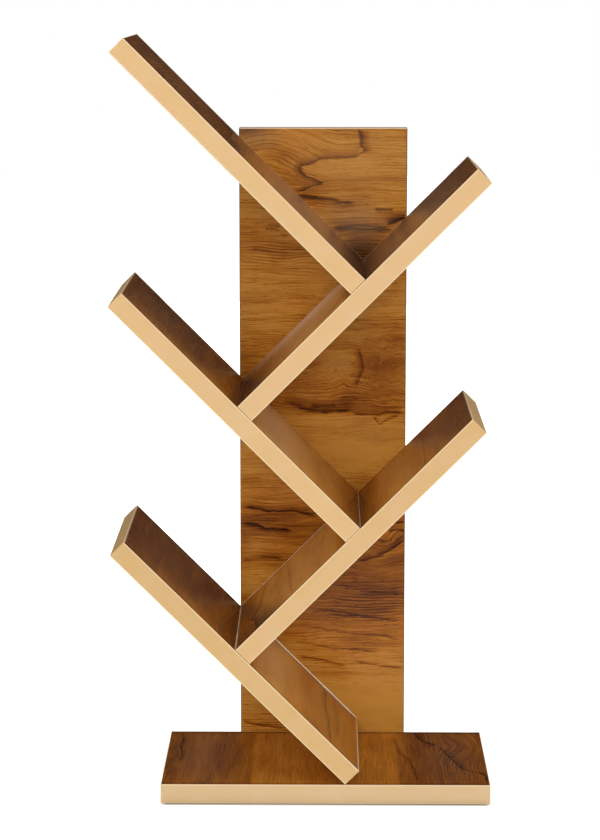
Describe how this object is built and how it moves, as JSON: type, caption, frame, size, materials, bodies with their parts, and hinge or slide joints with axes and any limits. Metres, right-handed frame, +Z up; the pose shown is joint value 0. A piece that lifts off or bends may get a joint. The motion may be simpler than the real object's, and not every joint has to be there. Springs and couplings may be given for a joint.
{
  "type": "tabletop book rack",
  "caption": "Free-standing tabletop book rack: slanted shelf boards in a zig-zag tree on a base board, screwed to an upright back panel.",
  "frame": {"origin": "centre of the base board's underside, on the surface that the rack stands on", "axes": "+Z up, -Y out of the front, +X to the right seen from the front"},
  "size_m": [0.2867, 0.1503, 0.577],
  "materials": {
    "laminate": "semi-gloss brown wood-grain laminate on engineered wood",
    "edge_band": "satin light tan edge band",
    "screw_steel": "zinc-plated steel",
    "dowel_beech": "plain turned beech"
  },
  "bodies": {
    "root": {"back_panel": "laminate", "panel_left_band": "edge_band", "panel_right_band": "edge_band", "panel_top_band": "edge_band", "base": "laminate", "base_front_band": "edge_band", "base_rear_band": "edge_band", "base_left_band": "edge_band", "base_right_band": "edge_band", "shelf_1": "laminate", "shelf_1_front_band": "edge_band", "shelf_1_rear_band": "edge_band", "shelf_1_foot_band": "edge_band", "shelf_1_end_band": "edge_band", "shelf_2": "laminate", "shelf_2_front_band": "edge_band", "shelf_2_rear_band": "edge_band", "shelf_2_foot_band": "edge_band", "shelf_2_end_band": "edge_band", "shelf_3": "laminate", "shelf_3_front_band": "edge_band", "shelf_3_rear_band": "edge_band", "shelf_3_foot_band": "edge_band", "shelf_3_end_band": "edge_band", "shelf_4": "laminate", "shelf_4_front_band": "edge_band", "shelf_4_rear_band": "edge_band", "shelf_4_foot_band": "edge_band", "shelf_4_end_band": "edge_band", "shelf_5": "laminate", "shelf_5_front_band": "edge_band", "shelf_5_rear_band": "edge_band", "shelf_5_foot_band": "edge_band", "shelf_5_end_band": "edge_band", "base_screw_1": "screw_steel", "base_screw_2": "screw_steel", "base_screw_3": "screw_steel", "shelf_1_screw_1": "screw_steel", "shelf_1_screw_2": "screw_steel", "shelf_2_screw_1": "screw_steel", "shelf_2_screw_2": "screw_steel", "shelf_3_screw_1": "screw_steel", "shelf_3_screw_2": "screw_steel", "shelf_4_screw_1": "screw_steel", "shelf_4_screw_2": "screw_steel", "shelf_5_screw_1": "screw_steel", "shelf_5_screw_2": "screw_steel", "shelf_1_front_dowel": "dowel_beech", "shelf_1_rear_dowel": "dowel_beech", "shelf_2_front_dowel": "dowel_beech", "shelf_2_rear_dowel": "dowel_beech", "shelf_3_front_dowel": "dowel_beech", "shelf_3_rear_dowel": "dowel_beech", "shelf_4_front_dowel": "dowel_beech", "shelf_4_rear_dowel": "dowel_beech"}
  },
  "joints": []
}
